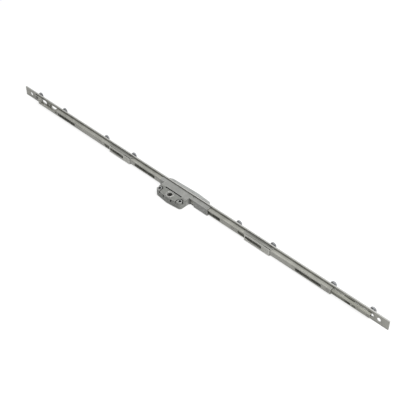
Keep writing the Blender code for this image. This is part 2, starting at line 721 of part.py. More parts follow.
def small_rack(name, side, parts, tools):
    """A reversing rack: the outer bar's lies above the pinion, the inner bar's below."""
    pitch_line = -PINION_RADIUS
    near = -SMALL_RACK_SPARE
    far = BLOCK_NEAR
    teeth = rack_line(near, far, pitch_line, PINION_MODULE, PINION_THINNING, 0)
    back = pitch_line - DEDENDUM * PINION_MODULE - SMALL_RACK_BACK
    low, high = tab_heights(side)
    reach = max(abs(low - MIDDLE), abs(high - MIDDLE))
    shelf = -min(abs(low - MIDDLE), abs(high - MIDDLE)) + FIT + BLOCK_EDGE
    outline = teeth + [(far, shelf), (far + BLOCK_LENGTH, shelf)]
    outline += [(far + BLOCK_LENGTH, back), (near, back)]
    placed = [(REVERSER_X + side * x, MIDDLE + side * z) for x, z in outline]
    front = before(FIT + SMALL_RACK_THICKNESS)
    rack = prism(name, placed, before(FIT), front, "XZ", parts)
    centre = REVERSER_X + side * TAB_CENTRE
    half = TAB_LENGTH / 2 + FIT
    hole = rectangle(centre - half, low - FIT, centre + half, high + FIT)
    cut(rack, prism(f"{name}_tab_hole", hole, before(FIT - PAST), front + PAST, "XZ", tools))
    assert reach + FIT < -back
    return rack


def reversing_pinion(parts, tools):
    pitch = 2 * math.pi / PINION_TEETH
    polar = []
    for number in range(PINION_TEETH):
        angle = math.pi / 2 + number * pitch
        polar += gear_tooth(PINION_MODULE, PINION_TEETH, PINION_THINNING, angle)
    centre = (REVERSER_X, MIDDLE)
    front = before(FIT + SMALL_RACK_THICKNESS)
    outline = from_polar(polar, centre)
    pinion = prism("reversing_pinion", outline, before(FIT), front, "XZ", parts)
    bore = circle(centre, PINION_PIN_RADIUS + RUNNING)
    cut(pinion, prism("pinion_bore", bore, before(FIT - PAST), front + PAST, "XZ", tools))
    return pinion


def pinion_pin(parts):
    head = before(2 * FIT + SMALL_RACK_THICKNESS)
    tail = behind(FIT)
    profile = [
        (0, head + RIVET_HEAD_THICKNESS),
        (PINION_PIN_HEAD, head + RIVET_HEAD_THICKNESS),
        (PINION_PIN_HEAD, head),
        (PINION_PIN_RADIUS, head),
        (PINION_PIN_RADIUS, tail),
        (SMALL_RIVET_TAIL, tail),
        (SMALL_RIVET_TAIL, tail - RIVET_HEAD_THICKNESS),
        (0, tail - RIVET_HEAD_THICKNESS),
    ]
    return turned("pinion_pin", profile, (REVERSER_X, 0, MIDDLE), "Y", RIVET_STEPS, parts)


# Front guard

def guard_roof():
    """(X, height) corners of the guard's outside, from its left foot to its right."""
    return [
        (GUARD_LEFT, 0),
        (GUARD_LEFT + GUARD_SLOPE, GUARD_SHOULDER),
        (REVERSER_X + GUARD_CROWN_X, GUARD_HEIGHT),
        (GUARD_RIGHT - GUARD_RIGHT_SLOPE, GUARD_RIGHT_HEIGHT),
        (GUARD_RIGHT, 0),
    ]


def roof_height(x):
    """Height of the guard's outside at this X."""
    corners = guard_roof()
    for (left, low), (right, high) in zip(corners, corners[1:]):
        if left <= x <= right:
            return low + (high - low) * (x - left) / (right - left)
    return 0


def front_guard(parts, tools):
    """The hollow, slightly crowned block over the reversing gear, its left end a slope."""
    base = before(FIT)
    outline = [(x, base + height) for x, height in guard_roof()]
    guard = prism("front_guard", outline, 0, PLATE_WIDTH, "XY", parts)
    _, left, crown, right, _ = guard_roof()
    far = right[0] - GUARD_WALL
    hollow = [(left[0], base - PAST), (far, base - PAST)]
    hollow += [(x, base + height - GUARD_WALL) for x, height in ((far, right[1]), crown, left)]
    inner = prism(
        "guard_hollow", hollow, GUARD_WALL, PLATE_WIDTH - GUARD_WALL, "XY", tools
    )
    cut(guard, inner)
    for side in (-1, 1):
        x = REVERSER_X + side * BOSS_CENTRE
        boss = circle((x, MIDDLE), BOSS_RADIUS)
        top = base + roof_height(x) - GUARD_WALL / 2
        join(guard, prism(f"guard_boss_{side}", boss, base, top, "XZ", tools))
        hole = circle((x, MIDDLE), GUARD_RIVET_RADIUS + FIT)
        past = base + GUARD_HEIGHT + PAST
        cut(guard, prism(f"guard_hole_{side}", hole, base - PAST, past, "XZ", tools))
    return guard


def guard_rivet(name, side, parts):
    x = REVERSER_X + side * BOSS_CENTRE
    head = before(2 * FIT + roof_height(x - side * GUARD_RIVET_HEAD))
    tail = behind(FIT)
    profile = [
        (0, head + RIVET_HEAD_THICKNESS),
        (GUARD_RIVET_HEAD - RIVET_HEAD_THICKNESS / 2, head + RIVET_HEAD_THICKNESS),
        (GUARD_RIVET_HEAD, head),
        (GUARD_RIVET_RADIUS, head),
        (GUARD_RIVET_RADIUS, tail),
        (SMALL_RIVET_TAIL, tail),
        (SMALL_RIVET_TAIL, tail - RIVET_HEAD_THICKNESS),
        (0, tail - RIVET_HEAD_THICKNESS),
    ]
    return turned(name, profile, (x, 0, MIDDLE), "Y", RIVET_STEPS, parts)


# Guide saddles

def saddle_tabs():
    """X of each saddle tab along the faceplate, for the two inner pairs."""
    places = []
    for centre in PAIR_CENTRES[1:3]:
        places.append(centre - SADDLE_REACH_LEFT + SADDLE_TAB_INSET)
        places.append(centre + SADDLE_REACH_RIGHT - SADDLE_TAB_INSET)
    return places


def saddle(name, centre, parts, tools):
    """A folded strap that holds the bars to the faceplate, with slanted ends and a window."""
    start = centre - SADDLE_REACH_LEFT
    end = centre + SADDLE_REACH_RIGHT
    front = behind(FIT)
    back = behind(SADDLE_BACK)
    outline = [(start, front), (start + SADDLE_SLANT, back), (end - SADDLE_SLANT, back), (end, front)]
    half = SADDLE_HALF_WIDTH
    strap = prism(name, outline, MIDDLE - half, MIDDLE + half, "XY", parts)
    cut(strap, cut_box(
        f"{name}_inside",
        (start - PAST, behind(CHANNEL_BACK), MIDDLE - CHANNEL_HALF),
        (end + PAST, front + PAST, MIDDLE + CHANNEL_HALF),
        tools,
    ))
    for x in (start + SADDLE_TAB_INSET, end - SADDLE_TAB_INSET):
        for side in (-1, 1):
            low, high = tab_span(side, CHANNEL_HALF, SADDLE_WALL)
            join(strap, cut_box(
                f"{name}_tab_{side}_{x:.3f}",
                (x - TAB_LENGTH / 2, behind(FIT + SADDLE_WALL), low + TAB_STEP),
                (x + TAB_LENGTH / 2, before(-FIT), high - TAB_STEP),
                tools,
            ))
    opening = start + SADDLE_WINDOW_INSET
    window = slot(opening, opening + SADDLE_WINDOW_LENGTH, MIDDLE, SADDLE_WINDOW_WIDTH)
    relief_back = CHANNEL_BACK + SADDLE_RELIEF_LAP
    relief = cut_box(
        f"{name}_relief",
        (end - SADDLE_RELIEF_LENGTH, behind(relief_back), MIDDLE + CHANNEL_HALF - FIT / 2),
        (end + PAST, behind(relief_back - SADDLE_RELIEF_WIDTH), MIDDLE + half + PAST),
        tools,
    )
    crease_front = behind(relief_back - SADDLE_RELIEF_WIDTH / 2)
    crease = cut_box(
        f"{name}_crease",
        (start - PAST, crease_front - SADDLE_CREASE_WIDTH, MIDDLE + half - SADDLE_CREASE_DEPTH),
        (end - SADDLE_RELIEF_LENGTH + PAST, crease_front, MIDDLE + half + PAST),
        tools,
    )
    cut(
        strap,
        prism(f"{name}_window", window, back - PAST, behind(OUTER_BACK), "XZ", tools),
        relief,
        crease,
    )
    return strap


# Gear case

def case_outline():
    """The case seen from above: the neck beside the faceplate, two screw pads and a lobe."""
    tilt = math.asin((LOBE_RADIUS - PAD_RADIUS) / HANDLE_SCREW_X)
    back = 3 * math.pi / 2
    left = (-HANDLE_SCREW_X, SPINDLE_Y)
    right = (HANDLE_SCREW_X, SPINDLE_Y)
    side = HANDLE_SCREW_X + PAD_RADIUS
    outline = [(NECK_LEFT, behind(FIT)), (NECK_LEFT, behind(NECK_DEPTH))]
    outline += [(-side, behind(NECK_DEPTH))]
    outline += arc(left, PAD_RADIUS, math.pi, back - tilt)
    outline += arc((0, SPINDLE_Y), LOBE_RADIUS, back - tilt, back + tilt)
    outline += arc(right, PAD_RADIUS, back + tilt, 2 * math.pi)
    outline += [(side, behind(NECK_DEPTH))]
    outline += [(NECK_RIGHT, behind(NECK_DEPTH)), (NECK_RIGHT, behind(FIT))]
    return outline


def shared_case_cuts(half_name, tools):
    """What both halves of the case leave open: the channel, the gear room and the holes."""
    low = CASE_BOTTOM - PAST
    high = CASE_TOP + PAST
    bar_room = cut_box(
        f"{half_name}_bar_room",
        (NECK_LEFT - PAST, behind(CHANNEL_BACK), MIDDLE - CHANNEL_HALF),
        (NECK_RIGHT + PAST, behind(-PAST), MIDDLE + CHANNEL_HALF),
        tools,
    )
    rack_room = cut_box(
        f"{half_name}_rack_room",
        (
            -RACK_HALF_LENGTH - TRAVEL / 2 - FIT,
            behind(RACK_PITCH_DEPTH + ADDENDUM * GEAR_MODULE + FIT),
            MIDDLE - RACK_WIDTH / 2 - FIT,
        ),
        (
            RACK_HALF_LENGTH + TRAVEL / 2 + FIT,
            behind(CHANNEL_BACK - PAST),
            MIDDLE + RACK_WIDTH / 2 + FIT,
        ),
        tools,
    )
    reach = PITCH_RADIUS + ADDENDUM * GEAR_MODULE + GEAR_ROOM
    room = arc((0, SPINDLE_Y), reach, -GEAR_ROOM_ANGLE, math.pi + GEAR_ROOM_ANGLE)
    half = GEAR_WIDTH / 2 + FIT
    gear_room = prism(f"{half_name}_gear_room", room, MIDDLE - half, MIDDLE + half, "XY", tools)
    hub_hole = circle((0, SPINDLE_Y), HUB_RADIUS + FIT)
    hub_room = prism(f"{half_name}_hub_hole", hub_hole, low, high, "XY", tools)
    neck_window = cut_box(
        f"{half_name}_neck_window",
        (NECK_WINDOW_START, behind(NECK_DEPTH + PAST), low),
        (
            NECK_WINDOW_START + NECK_WINDOW_LENGTH,
            behind(CHANNEL_BACK - FIT),
            CASE_TOP - NECK_WINDOW_BRIDGE,
        ),
        tools,
    )
    rooms = [bar_room, rack_room, gear_room, hub_room, neck_window]
    for side in (-1, 1):
        rooms.append(bush_hole(f"{half_name}_bush_hole_{side}", side, tools))
    return rooms


def bush_profile(margin):
    """Outside of a tubular rivet with spread ends, top down, grown by a margin."""
    top = CASE_TOP - TOP_STEP
    wide = BUSH_FLARE + margin
    narrow = BUSH_RADIUS + margin
    taper = BUSH_FLARE - BUSH_RADIUS
    return [
        (wide, top),
        (narrow, top - taper),
        (narrow, CASE_BOTTOM + taper),
        (wide, CASE_BOTTOM),
    ]


def bush_hole(name, side, tools):
    outside = bush_profile(FIT)
    high = CASE_TOP + PAST
    low = CASE_BOTTOM - PAST
    profile = [(0, high), (outside[0][0], high), *outside, (outside[-1][0], low), (0, low)]
    place = (side * HANDLE_SCREW_X, SPINDLE_Y, 0)
    return turned(name, profile, place, "Z", CAM_STEPS, tools)


def case_bush(name, side, parts):
    """A tubular rivet that holds the case's halves together and takes a handle screw."""
    outside = bush_profile(0)
    profile = [(BUSH_BORE, outside[0][1]), *outside, (BUSH_BORE, outside[-1][1])]
    profile.append(profile[0])
    place = (side * HANDLE_SCREW_X, SPINDLE_Y, 0)
    return turned(name, profile, place, "Z", CAM_STEPS, parts)


def case_tab(half_name, x, side, tools):
    low, high = tab_span(side, CHANNEL_HALF, CASE_WALL)
    half = TAB_LENGTH / 2
    return cut_box(
        f"{half_name}_tab_{x:.3f}",
        (x - half, behind(FIT + CASE_WALL), low + TAB_STEP),
        (x + half, before(-FIT), high - TAB_STEP),
        tools,
    )


def gear_case_lower(parts, tools):
    name = "gear_case_lower"
    half = prism(name, case_outline(), CASE_BOTTOM, MIDDLE - FIT / 2, "XY", parts)
    join(half, *[case_tab(name, x, -1, tools) for x in CASE_TABS])
    cut(half, *shared_case_cuts(name, tools))
    return half


def post_pocket(name, side, tools):
    """The U-shaped pocket round a screw post, open to the back."""
    x = side * HANDLE_SCREW_X
    outer = POST_RADIUS + POST_GAP
    end = SPINDLE_Y - PAD_RADIUS - PAST
    outline = [(x + outer, end)]
    outline += arc((x, SPINDLE_Y), outer, 0, math.pi)
    outline += [(x - outer, end), (x - POST_RADIUS, end)]
    outline += arc((x, SPINDLE_Y), POST_RADIUS, math.pi, 0)
    outline += [(x + POST_RADIUS, end)]
    low = CASE_TOP - POST_POCKET_DEPTH
    return prism(name, outline, low, CASE_TOP + PAST, "XY", tools)


def gear_case_upper(parts, tools):
    name = "gear_case_upper"
    half = prism(name, case_outline(), MIDDLE + FIT / 2, CASE_TOP, "XY", parts)
    join(half, *[case_tab(name, x, 1, tools) for x in CASE_TABS])
    groove_front = SPINDLE_Y + GROOVE_TO_SPINDLE + GROOVE_WIDTH / 2
    groove_back = groove_front - GROOVE_WIDTH
    wide = HANDLE_SCREW_X + PAD_RADIUS + PAST
    step = cut_box(
        "case_top_step",
        (-wide, SPINDLE_Y - LOBE_RADIUS - PAST, CASE_TOP - TOP_STEP),
        (wide, groove_back, CASE_TOP + PAST),
        tools,
    )
    groove = cut_box(
        "case_groove",
        (-GROOVE_HALF_LENGTH, groove_back - FIT, CASE_TOP - GROOVE_DEPTH),
        (GROOVE_HALF_LENGTH, groove_front, CASE_TOP + PAST),
        tools,
    )
    cut(half, step, groove)
    ring = circle((0, SPINDLE_Y), LOBE_RADIUS - FIT)
    join(half, prism("case_hub_ring", ring, CASE_TOP - CASE_WALL, CASE_TOP, "XY", tools))
    reach = NECK_NOTCH_LENGTH / 2
    width = NECK_NOTCH_WIDTH / 2
    notch = cut_box(
        "case_neck_notch",
        (NECK_NOTCH_X - reach, behind(NECK_NOTCH_DEPTH + width), MIDDLE),
        (NECK_NOTCH_X + reach, behind(NECK_NOTCH_DEPTH - width), CASE_TOP + PAST),
        tools,
    )
    pockets = [post_pocket(f"post_pocket_{side}", side, tools) for side in (-1, 1)]
    cut(half, *shared_case_cuts(name, tools), notch, *pockets)
    lobe_share = (HANDLE_SCREW_X - BACK_POCKET_X) / HANDLE_SCREW_X
    wall = SPINDLE_Y - PAD_RADIUS - (LOBE_RADIUS - PAD_RADIUS) * lobe_share
    top = CASE_TOP - BACK_POCKET_TOP
    low = top - BACK_POCKET_HEIGHT
    length = BACK_POCKET_LENGTH / 2
    pockets = [
        rectangle(x - length, wall - PAST, x + length, wall + BACK_POCKET_DEPTH)
        for x in (-BACK_POCKET_X, BACK_POCKET_X)
    ]
    cut(half, prisms("case_back_pockets", pockets, low, top, "XY", tools))
    return half


def build():
    for old in list(bpy.data.objects):
        bpy.data.objects.remove(old)
    parts = new_collection("window_espagnolette_gearbox")
    tools = new_collection("cutters")
    tools.hide_render = True
    plate_steel = metal("faceplate_steel", (0.42, 0.42, 0.39), 0.38)
    outer_steel = metal("outer_bar_steel", (0.50, 0.50, 0.46), 0.34)
    inner_steel = metal("inner_bar_steel", (0.46, 0.45, 0.38), 0.36)
    case_zinc = metal("case_zinc", (0.46, 0.47, 0.45), 0.42)
    guard_zinc = metal("guard_zinc", (0.47, 0.48, 0.46), 0.44)
    gear_steel = metal("gear_steel", (0.40, 0.40, 0.38), 0.36)
    cam_steel = metal("cam_steel", (0.56, 0.59, 0.63), 0.22)
    rivet_steel = metal("rivet_steel", (0.55, 0.55, 0.53), 0.30)

    finish(faceplate(parts, tools), plate_steel)
    finish(outer_drive_bar(parts, tools), outer_steel)
    finish(inner_drive_bar(parts, tools), inner_steel)
    finish(gear_case_lower(parts, tools), case_zinc)
    finish(gear_case_upper(parts, tools), case_zinc)
    finish(follower(parts, tools), gear_steel)
    finish(drive_rack(parts, tools), gear_steel)
    finish(small_rack("outer_reversing_rack", -1, parts, tools), gear_steel)
    finish(small_rack("inner_reversing_rack", 1, parts, tools), gear_steel)
    finish(reversing_pinion(parts, tools), gear_steel)
    finish(pinion_pin(parts), rivet_steel)
    finish(front_guard(parts, tools), guard_zinc)
    finish(guard_rivet("guard_rivet_left", -1, parts), rivet_steel)
    finish(guard_rivet("guard_rivet_right", 1, parts), rivet_steel)
    finish(saddle("guide_saddle_left", PAIR_CENTRES[1], parts, tools), outer_steel)
    finish(saddle("guide_saddle_right", PAIR_CENTRES[2], parts, tools), outer_steel)
    finish(case_bush("case_bush_left", -1, parts), rivet_steel)
    finish(case_bush("case_bush_right", 1, parts), rivet_steel)
    for piece in cams(parts):
        finish(piece, cam_steel)


build()
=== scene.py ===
# The looks of a window espagnolette gearbox: plated finishes for every piece of the packed
# model, a collar and a rim round the hub, and the photograph's view of it on a pale floor.
# Metres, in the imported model's frame: X along the faceplate, +Y out of its front, Z up.
import json
import math
from dataclasses import dataclass

import bpy
from mathutils import Matrix, Vector


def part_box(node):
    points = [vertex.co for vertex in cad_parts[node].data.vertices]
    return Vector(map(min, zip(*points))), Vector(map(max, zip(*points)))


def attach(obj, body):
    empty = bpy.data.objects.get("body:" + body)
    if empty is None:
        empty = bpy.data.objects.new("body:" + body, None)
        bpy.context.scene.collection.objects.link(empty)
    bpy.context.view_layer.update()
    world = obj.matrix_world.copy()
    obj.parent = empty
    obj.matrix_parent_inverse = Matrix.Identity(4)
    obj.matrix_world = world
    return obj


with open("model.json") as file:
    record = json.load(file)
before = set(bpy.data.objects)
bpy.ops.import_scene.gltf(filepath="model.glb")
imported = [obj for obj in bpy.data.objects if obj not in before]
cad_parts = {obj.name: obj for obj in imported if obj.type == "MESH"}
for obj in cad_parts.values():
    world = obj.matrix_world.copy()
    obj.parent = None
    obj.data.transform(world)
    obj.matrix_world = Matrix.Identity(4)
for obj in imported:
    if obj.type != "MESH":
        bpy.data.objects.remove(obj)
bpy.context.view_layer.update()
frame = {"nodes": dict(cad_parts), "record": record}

# Hub, round the spindle
SPINDLE = (0.0, -0.023)
COLLAR_OUTER = 0.0055
COLLAR_INNER = 0.0043
# The rim is a thin bright ring laid on the case's ring: a painted highlight
RIM_INNER = 0.0060
RIM_OUTER = 0.0068
RIM_HEIGHT = 0.00015
RING_CHAMFER = 0.0001
RING_STEPS = 48
RING_SHARP_ANGLE = math.radians(30)

# Camera, fitted to the photograph
CAMERA_AIM = (0.0578, -0.001, 0.0088)
CAMERA_DISTANCE = 1.2875
CAMERA_AZIMUTH = math.radians(44.36)
CAMERA_ELEVATION = math.radians(41.94)
CAMERA_ROLL = math.radians(-0.11)
LENS_MM = 75.99
SENSOR_MM = 36

# Light
LIGHT_AIM = (0, 0, 0)
KEY_PLACE = (1.05, -0.05, 1.45)
KEY_SIZE = (1.4, 1.0)
KEY_ENERGY = 29.0
FILL_PLACE = (1.1, -0.8, 0.7)
FILL_SIZE = (1.2, 1.2)
FILL_ENERGY = 2.5
WORLD_STRENGTH = 0.30
BACKDROP_STRENGTH = 1.0
FLOOR_SIZE = 30.0
FLOOR_SHADE = 0.30           # so that the floor's own glow makes it white but a shadow still shows
FLOOR_GLOW = 0.82
WHITE = (1, 1, 1)

# Plating: scale and detail of each pattern, and how the patterns are mixed
CLOUDS = (60, 5)
LINES = (900, 3)
PITS = (2600, 2)
LINE_SHARE = 0.4             # of drawn lines in the colour, the rest being clouds
PIT_SHARE = 0.5              # of pits in the relief, the rest being drawn lines
COLOUR_SPAN = (0.36, 0.64)   # of the pattern, from the dark colour to the light one
ROUGH_SPAN = (0.35, 0.65)    # of the pattern, from the smoothest to the roughest
RELIEF_DEPTH = 0.0002

# Painted shade and highlights: how open a face is where the painted crevice shade is deepest and where it
# ends, and the colour of the edges' painted highlight, which also stands for rubbed wear
CREVICE_DARK = 0.35
CREVICE_CLEAR = 0.85
RUBBED_AND_HIGHLIGHT_STEEL = (0.78, 0.78, 0.75)
SHADE_AND_HIGHLIGHT_SAMPLES = 8             # for the painted crevice shade and the edges' painted highlight
EDGE_SAMPLES = 6             # for the rounding that every edge shows

# The Z of a normal where the painted light on upward faces starts and is full, and the Y of one where
# the painted light and shade on backward faces is full and has ended
UPWARD = (0.5, 0.9)
BACKWARD = (-1.0, -0.5)

# A tone and, along Y, where it is full and where it has ended
CAM_END_PAINTED_SHADE = ((0.29, 0.275, 0.245), -0.0014, -0.0011)  # painted shade on a cam's riveted end, behind the plate
CASE_BACK_TONE = ((0.72, 0.73, 0.71), -0.0160, -0.0145)  # darker, on the case top behind the groove

# Painted light and shade across the tops of a saddle and of the inner bar: tones at places along Y
# towards the faceplate
SADDLE_PAINTED_LIGHT = (
    (-0.0084, 0.90), (-0.0080, 1.0), (-0.0075, 0.66), (-0.0068, 0.34), (-0.0060, 0.46),
    (-0.0052, 0.64), (-0.0040, 0.42), (-0.0028, 0.27), (-0.0018, 0.44),
)
INNER_BAR_PAINTED_LIGHT = (
    (-0.0059, 0.66), (-0.0045, 0.76), (-0.0036, 0.94), (-0.0028, 1.0), (-0.0018, 0.82),
)


# Shader nodes

class Graph:
    """Adds linked nodes to one material or world."""

    def __init__(self, owner):
        owner.use_nodes = True
        self.tree = owner.node_tree

    def plug(self, node, key, value):
        """Give an input, named or counted, another node's output or a constant."""
        named = [item for item in node.inputs if item.name == key and item.enabled]
        target = named[0] if named else node.inputs[key]
        if isinstance(value, bpy.types.NodeSocket):
            self.tree.links.new(value, target)
        elif target.type == "RGBA":
            target.default_value = (*value, 1)
        else:
            target.default_value = value

    def add(self, kind, inputs, **settings):
        node = self.tree.nodes.new(kind)
        for name, value in settings.items():
            setattr(node, name, value)
        for key, value in inputs.items():
            self.plug(node, key, value)
        return node

    def compute(self, operation, first, second, clamp=False):
        node = self.add("ShaderNodeMath", {0: first, 1: second}, operation=operation, use_clamp=clamp)
        return node.outputs["Value"]

    def blend(self, share, first, second):
        """Two values mixed, with this share of the second."""
        inputs = {"Factor": share, "A": first, "B": second}
        return self.add("ShaderNodeMix", inputs, data_type="FLOAT").outputs["Result"]

    def mix(self, share, first, second, mode="MIX"):
        """Two colours mixed, each an output or a plain colour."""
        inputs = {"Factor": share, "A": first, "B": second}
        node = self.add("ShaderNodeMix", inputs, data_type="RGBA", blend_type=mode)
        return next(item for item in node.outputs if item.enabled)

    def toned(self, colour, tone):
        return self.mix(1.0, colour, tone, "MULTIPLY")

    def span(self, value, start, end, low=0.0, high=1.0):
        """A value carried from start and end to low and high."""
        inputs = {"Value": value, "From Min": start, "From Max": end, "To Min": low, "To Max": high}
        return self.add("ShaderNodeMapRange", inputs).outputs["Result"]

    def along(self, vector, axis, start, end):
        """0 before start and 1 after end along one axis of a vector."""
        parts = self.add("ShaderNodeSeparateXYZ", {"Vector": vector})
        return self.span(parts.outputs[axis], start, end)

    def ramp(self, value, stops):
        """The colour at a value between these (position, colour) stops."""
        node = self.add("ShaderNodeValToRGB", {"Fac": value})
        elements = node.color_ramp.elements
        while len(elements) < len(stops):
            elements.new(0.5)
        for element, (position, colour) in zip(elements, stops):
            element.position = position
            element.color = (*colour, 1)
        return node.outputs["Color"]

    def noise(self, place, pattern, stretch=(1, 1, 1)):
        """Noise over the object's own coordinates, drawn out by stretch."""
        scale, detail = pattern
        mapping = self.add("ShaderNodeMapping", {"Vector": place, "Scale": stretch})
        inputs = {"Vector": mapping.outputs["Vector"], "Scale": scale, "Detail": detail}
        return self.add("ShaderNodeTexNoise", inputs).outputs["Fac"]

    def place(self):
        return self.add("ShaderNodeTexCoord", {}).outputs["Object"]

    def normal(self):
        return self.add("ShaderNodeNewGeometry", {}).outputs["Normal"]

    def rounded_normal(self, radius, samples):
        return self.add("ShaderNodeBevel", {"Radius": radius}, samples=samples).outputs["Normal"]

    def seen_directly(self):
        """1 for what the camera, gloss and glass see, and 0 for what lights the object."""
        path = self.add("ShaderNodeLightPath", {})
        seen = path.outputs["Is Camera Ray"]
        for ray in ("Is Glossy Ray", "Is Transmission Ray"):
            seen = self.compute("MAXIMUM", seen, path.outputs[ray])
        return seen


# Materials

@dataclass
class Plating:
    """One plated finish, with linear colours and lengths in metres."""

    dark: tuple
    light: tuple
    metallic: float
    rough: tuple                 # smoothest and roughest
    grain: tuple                 # stretch of the drawn lines
    bump: float                  # strength of the relief
    edge: float = 0.00018        # radius that edges look rounded to
    crevice_shade: float = 0.30        # painted shade: tone of the deepest crevice
    shade_reach: float = 0.0022        # how far neighbouring faces count as crowding in, for the painted shade
    edge_highlight_and_wear: float = 0.35           # how bright the painted highlight along the edges is, which also stands for rubbed wear
    edge_highlight_reach: float = 0.0009   # how far in from an edge the painted highlight reaches
    back: tuple = None           # a tone that ends along Y: painted shade on the cams' riveted ends, a darker top on the case
    painted_light_bands: tuple = None          # painted light and shade: tones at places along Y
    painted_top_light: tuple = None       # painted light: colour of the faces that look upwards
    side: float = 1.0            # painted light and shade: tone of the faces that look backwards


def colour_with_painted_tones(graph, finish, place, pattern):
    """The plating's colour with its tones by direction and along Y, painted light and shade except the
    case top's darker tone, before the painted crevice shade and edge highlights.
    """
    low, high = COLOUR_SPAN
    colour = graph.ramp(pattern, ((low, finish.dark), (high, finish.light)))
    if finish.back:
        tone, full, ended = finish.back
        front = graph.along(place, "Y", full, ended)
        colour = graph.toned(colour, graph.mix(front, tone, WHITE))
    if finish.painted_light_bands:
        first, last = finish.painted_light_bands[0][0], finish.painted_light_bands[-1][0]
        stops = [((y - first) / (last - first), (tone,) * 3) for y, tone in finish.painted_light_bands]
        colour = graph.toned(colour, graph.ramp(graph.along(place, "Y", first, last), stops))
    if finish.painted_top_light:
        upward = graph.along(graph.normal(), "Z", *UPWARD)
        colour = graph.mix(upward, colour, finish.painted_top_light)
    if finish.side != 1:
        forward = graph.along(graph.normal(), "Y", *BACKWARD)
        colour = graph.toned(colour, graph.mix(forward, (finish.side,) * 3, WHITE))
    return colour


def painted_crevice_shade(graph, finish):
    """Painted shade: white on open faces, falling to the finish's darkest tone where neighbouring faces
    crowd in.
    """
    shade = graph.add("ShaderNodeAmbientOcclusion", {"Distance": finish.shade_reach}, samples=SHADE_AND_HIGHLIGHT_SAMPLES)
    stops = ((CREVICE_DARK, (finish.crevice_shade,) * 3), (CREVICE_CLEAR, WHITE))
    return graph.ramp(shade.outputs["AO"], stops)


def painted_edge_highlight_and_wear(graph, finish, crevice_shade_factor):
    """Painted edge highlight, also standing for rubbed wear: 0 on a face and up to the finish's wear
    along open edges, where a wide rounding turns normals.
    """
    wide = graph.rounded_normal(finish.edge_highlight_reach, SHADE_AND_HIGHLIGHT_SAMPLES)
    turn = graph.add("ShaderNodeVectorMath", {0: wide, 1: graph.normal()}, operation="DISTANCE")
    edges = graph.compute("MULTIPLY", turn.outputs["Value"], crevice_shade_factor, clamp=True)
    return graph.compute("MULTIPLY", edges, finish.edge_highlight_and_wear)


def with_painted_shade_and_highlight(graph, finish, colour):
    """The colour with painted shade in its crevices and painted highlights along its edges, which also
    stand for rubbed wear.
    """
    crevice_shade_factor = painted_crevice_shade(graph, finish)
    return graph.mix(painted_edge_highlight_and_wear(graph, finish, crevice_shade_factor), graph.toned(colour, crevice_shade_factor), RUBBED_AND_HIGHLIGHT_STEEL)


def plated(name, finish):
    """Zinc-plated metal: cloudy plating, drawn lines and fine pits, with painted highlights along the
    edges that also stand for rubbed wear, and painted shade in crevices.
    """
    material = bpy.data.materials.new(name)
    graph = Graph(material)
    shader = material.node_tree.nodes["Principled BSDF"]
    place = graph.place()
    lines = graph.noise(place, LINES, finish.grain)
    pattern = graph.blend(LINE_SHARE, graph.noise(place, CLOUDS), lines)
    colour = colour_with_painted_tones(graph, finish, place, pattern)
    relief = graph.blend(PIT_SHARE, lines, graph.noise(place, PITS))
    rounded = graph.rounded_normal(finish.edge, EDGE_SAMPLES)
    bump = graph.add(
        "ShaderNodeBump",
        {"Strength": finish.bump, "Distance": RELIEF_DEPTH, "Height": relief, "Normal": rounded},
    )
    graph.plug(shader, "Metallic", finish.metallic)
    graph.plug(shader, "Base Color", with_painted_shade_and_highlight(graph, finish, colour))
    graph.plug(shader, "Roughness", graph.span(pattern, *ROUGH_SPAN, *finish.rough))
    graph.plug(shader, "Normal", bump.outputs["Normal"])
    return material


# Every finish below has painted shade in its crevices and a painted highlight along its open edges
ALONG = (0.05, 1, 1)
CAST = (1, 1, 1)
DULL = (0.34, 0.50)
SATIN = (0.28, 0.42)
BRIGHT = (0.14, 0.26)
# Painted light: the faceplate's upward faces are lighter, as if lit from above
strip = plated("strip_plating", Plating(
    (0.285, 0.284, 0.255), (0.42, 0.418, 0.38), 0.3, DULL, ALONG, 0.22,
    crevice_shade=0.20, shade_reach=0.003, painted_top_light=(0.50, 0.50, 0.48),
))
# Painted shade: the pressed bar's backward faces are darker
pressed = plated("pressed_plating", Plating(
    (0.31, 0.309, 0.276), (0.45, 0.448, 0.407), 0.3, SATIN, ALONG, 0.18,
    side=0.90,
))
# Painted light and shade: bands across the saddles' tops, with strong painted highlights along their
# edges
folded = plated("folded_plating", Plating(
    (0.42, 0.42, 0.38), (0.58, 0.58, 0.53), 0.3, SATIN, ALONG, 0.18,
    crevice_shade=0.15, edge_highlight_and_wear=0.8, edge_highlight_reach=0.0012, painted_light_bands=SADDLE_PAINTED_LIGHT,
))
# Painted light and shade: bands across the inner bar's top
tinted = plated("tinted_plating", Plating(
    (0.35, 0.35, 0.305), (0.50, 0.50, 0.44), 0.3, SATIN, ALONG, 0.18,
    crevice_shade=0.12, edge_highlight_and_wear=0.25, painted_light_bands=INNER_BAR_PAINTED_LIGHT,
))
# Painted shade: the case's backward faces are darker; its top behind the groove is darker too
cast = plated("cast_plating", Plating(
    (0.26, 0.263, 0.248), (0.38, 0.383, 0.367), 0.3, DULL, CAST, 0.30, edge=0.0003,
    crevice_shade=0.10, shade_reach=0.004, edge_highlight_and_wear=0.65, side=0.78, back=CASE_BACK_TONE,
))
guard = plated("guard_plating", Plating(
    (0.34, 0.35, 0.34), (0.45, 0.46, 0.45), 0.3, DULL, CAST, 0.25, edge=0.0003,
    edge_highlight_and_wear=0.5,
))
# Painted shade, deep, in the follower's hole and the gears' hollows
geared = plated("gear_steel", Plating(
    (0.15, 0.15, 0.142), (0.22, 0.22, 0.208), 0.5, DULL, CAST, 0.25,
    crevice_shade=0.03, shade_reach=0.006,
))
